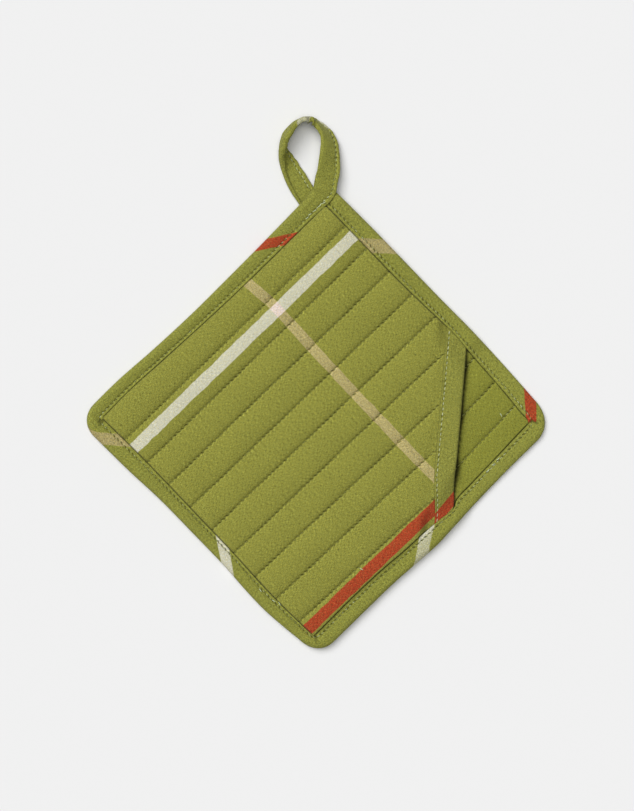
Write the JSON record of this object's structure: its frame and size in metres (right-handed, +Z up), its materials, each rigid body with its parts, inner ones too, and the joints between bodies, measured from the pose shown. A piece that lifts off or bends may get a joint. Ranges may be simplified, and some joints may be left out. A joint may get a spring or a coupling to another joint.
{
  "type": "pot holder",
  "caption": "Quilted cotton pot holder with a corner pocket for the hand, bound edges and a hanging loop, lying flat.",
  "frame": {"origin": "middle of the square, in the plane that its back rests on, on a crest between two lines of quilting", "axes": "the pot holder lies flat and is a square standing on one corner: +Y from the middle to the corner with the hanging loop, +X to the corner with the pocket's mouth, +Z up out of its front"},
  "size_m": [0.297, 0.3463, 0.016],
  "materials": {
    "front_cloth": "matt plain-weave cotton, olive green with a windowpane check of cream, tan and red stripes, quilted with green thread",
    "back_cloth": "matt plain-weave cotton, olive green, quilted with green thread",
    "binding_cloth": "matt plain-weave cotton cut on the bias, olive green crossed by slanted cream, tan and red stripes, topstitched"
  },
  "bodies": {
    "root": {"back_panel": "back_cloth", "pocket_panel": "front_cloth", "mouth_binding": "binding_cloth", "edge_binding": "binding_cloth", "hanging_loop": "binding_cloth"}
  },
  "joints": []
}
